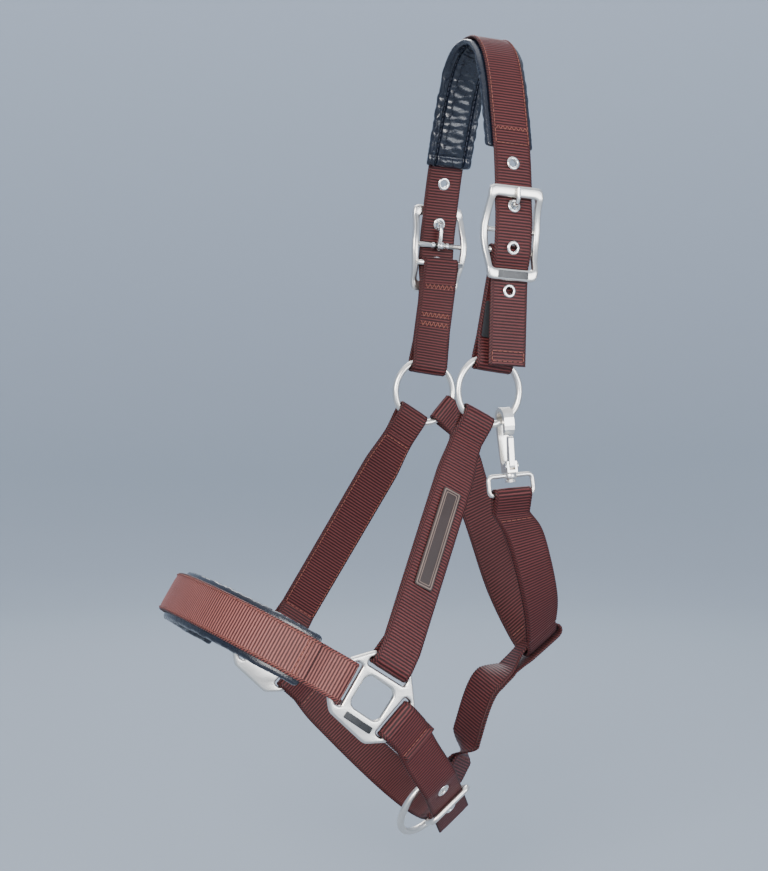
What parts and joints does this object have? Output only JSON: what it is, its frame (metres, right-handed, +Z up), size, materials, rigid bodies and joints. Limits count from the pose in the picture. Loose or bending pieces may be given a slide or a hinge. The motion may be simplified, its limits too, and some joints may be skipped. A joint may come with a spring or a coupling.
{
  "type": "headcollar",
  "caption": "Webbing headcollar with padded crown and noseband, two crown buckles, cast nose fittings, chin buckle, lead ring and a throat snap.",
  "frame": {"origin": "underside of the crown pad at the poll", "axes": "+Z up, the nose towards -X, the near (left) side at -Y"},
  "size_m": [0.2557, 0.1896, 0.5034],
  "materials": {
    "webbing": "ribbed nylon",
    "nose_webbing": "ribbed nylon, brighter",
    "lining": "glossy coated padding",
    "nickel": "satin nickel",
    "bright_nickel": "bright",
    "touch_tape": "hook and loop",
    "inlay": "enamel",
    "label": "matt rubber"
  },
  "bodies": {
    "crown": {"crown_strap": "webbing", "crown_pad": "lining", "near_crown_eyelet_1": "bright_nickel", "near_crown_eyelet_2": "bright_nickel", "near_crown_eyelet_3": "bright_nickel", "far_crown_eyelet_1": "bright_nickel", "far_crown_eyelet_2": "bright_nickel", "far_crown_eyelet_3": "bright_nickel", "near_crown_buckle": "nickel", "far_crown_buckle": "nickel", "near_buckle_inlay": "inlay", "far_buckle_inlay": "inlay", "near_tongue_pin": "bright_nickel", "far_tongue_pin": "bright_nickel", "near_carrier_strap": "webbing", "far_carrier_strap": "webbing", "near_loop_patch": "touch_tape", "far_loop_patch": "touch_tape"},
    "near_tail": {"near_crown_tail": "webbing", "near_tail_eyelet": "bright_nickel", "near_hook_patch": "touch_tape"},
    "far_tail": {"far_crown_tail": "webbing", "far_tail_eyelet": "bright_nickel", "far_hook_patch": "touch_tape"},
    "near_tongue": {"near_crown_tongue": "bright_nickel"},
    "far_tongue": {"far_crown_tongue": "bright_nickel"},
    "near_ring": {"near_upper_ring": "nickel"},
    "far_ring": {"far_upper_ring": "nickel"},
    "lower": {"near_cheek_strap": "webbing", "far_cheek_strap": "webbing", "cheek_patch": "label", "near_nose_fitting": "nickel", "far_nose_fitting": "nickel", "near_fitting_inlay": "inlay", "far_fitting_inlay": "inlay", "noseband_base": "nose_webbing", "noseband_overlay": "nose_webbing", "noseband_pad": "lining", "near_chin_strap": "webbing", "far_chin_strap": "webbing", "chin_eyelet_1": "bright_nickel", "chin_eyelet_2": "bright_nickel", "chin_buckle": "nickel", "back_strap": "webbing", "throat_strap": "webbing", "throat_branch": "webbing", "snap_eye": "nickel"},
    "chin_ring": {"chin_ring": "nickel"},
    "chin_tongue": {"chin_tongue": "bright_nickel"},
    "snap": {"snap_hook": "nickel", "gate_rivet": "bright_nickel"},
    "gate": {"snap_gate": "nickel"}
  },
  "joints": [
    {"name": "cheek_swing", "type": "hinge", "parent": "crown", "child": "lower", "pos_m": [-0.019, 0, -0.2143], "axis": [0, 1, 0], "range_deg": [-20, 20]},
    {"name": "near_ring_spin", "type": "hinge", "parent": "crown", "child": "near_ring", "pos_m": [-0.019, -0.049, -0.2143], "axis": [0, 1, 0], "continuous": true},
    {"name": "far_ring_spin", "type": "hinge", "parent": "crown", "child": "far_ring", "pos_m": [-0.019, 0.049, -0.2143], "axis": [0, 1, 0], "continuous": true},
    {"name": "near_tail_lift", "type": "hinge", "parent": "crown", "child": "near_tail", "pos_m": [-0.00833, -0.0557, -0.14897], "axis": [-0.9984, 0, 0.0558], "range_deg": [0, 60]},
    {"name": "far_tail_lift", "type": "hinge", "parent": "crown", "child": "far_tail", "pos_m": [-0.00833, 0.0557, -0.14897], "axis": [0.9984, 0, -0.0558], "range_deg": [0, 60]},
    {"name": "near_tongue_tilt", "type": "hinge", "parent": "crown", "child": "near_tongue", "pos_m": [-0.00659, -0.0526, -0.11782], "axis": [0.9984, 0, -0.0558], "range_deg": [0, 2.5]},
    {"name": "far_tongue_tilt", "type": "hinge", "parent": "crown", "child": "far_tongue", "pos_m": [-0.00659, 0.0526, -0.11782], "axis": [-0.9984, 0, 0.0558], "range_deg": [0, 2.5]},
    {"name": "chin_ring_spin", "type": "hinge", "parent": "lower", "child": "chin_ring", "pos_m": [-0.03788, 0, -0.47272], "axis": [0.4091, -0.7632, -0.5002], "continuous": true},
    {"name": "chin_tongue_tilt", "type": "hinge", "parent": "lower", "child": "chin_tongue", "pos_m": [-0.04398, -0.03978, -0.46526], "axis": [-0.7741, 0, -0.6331], "range_deg": [0, 50]},
    {"name": "snap_swivel", "type": "hinge", "parent": "lower", "child": "snap", "pos_m": [-0.00849, -0.049, -0.23179], "axis": [0.07, -0.088, -0.9937], "range_deg": [-9, 9]},
    {"name": "gate_open", "type": "hinge", "parent": "snap", "child": "gate", "pos_m": [-0.00656, -0.05405, -0.25938], "axis": [0.9975, -0.0043, 0.0706], "range_deg": [0, 15], "stiffness_Nm_per_rad": 0.02, "springref_deg": -11.46}
  ]
}
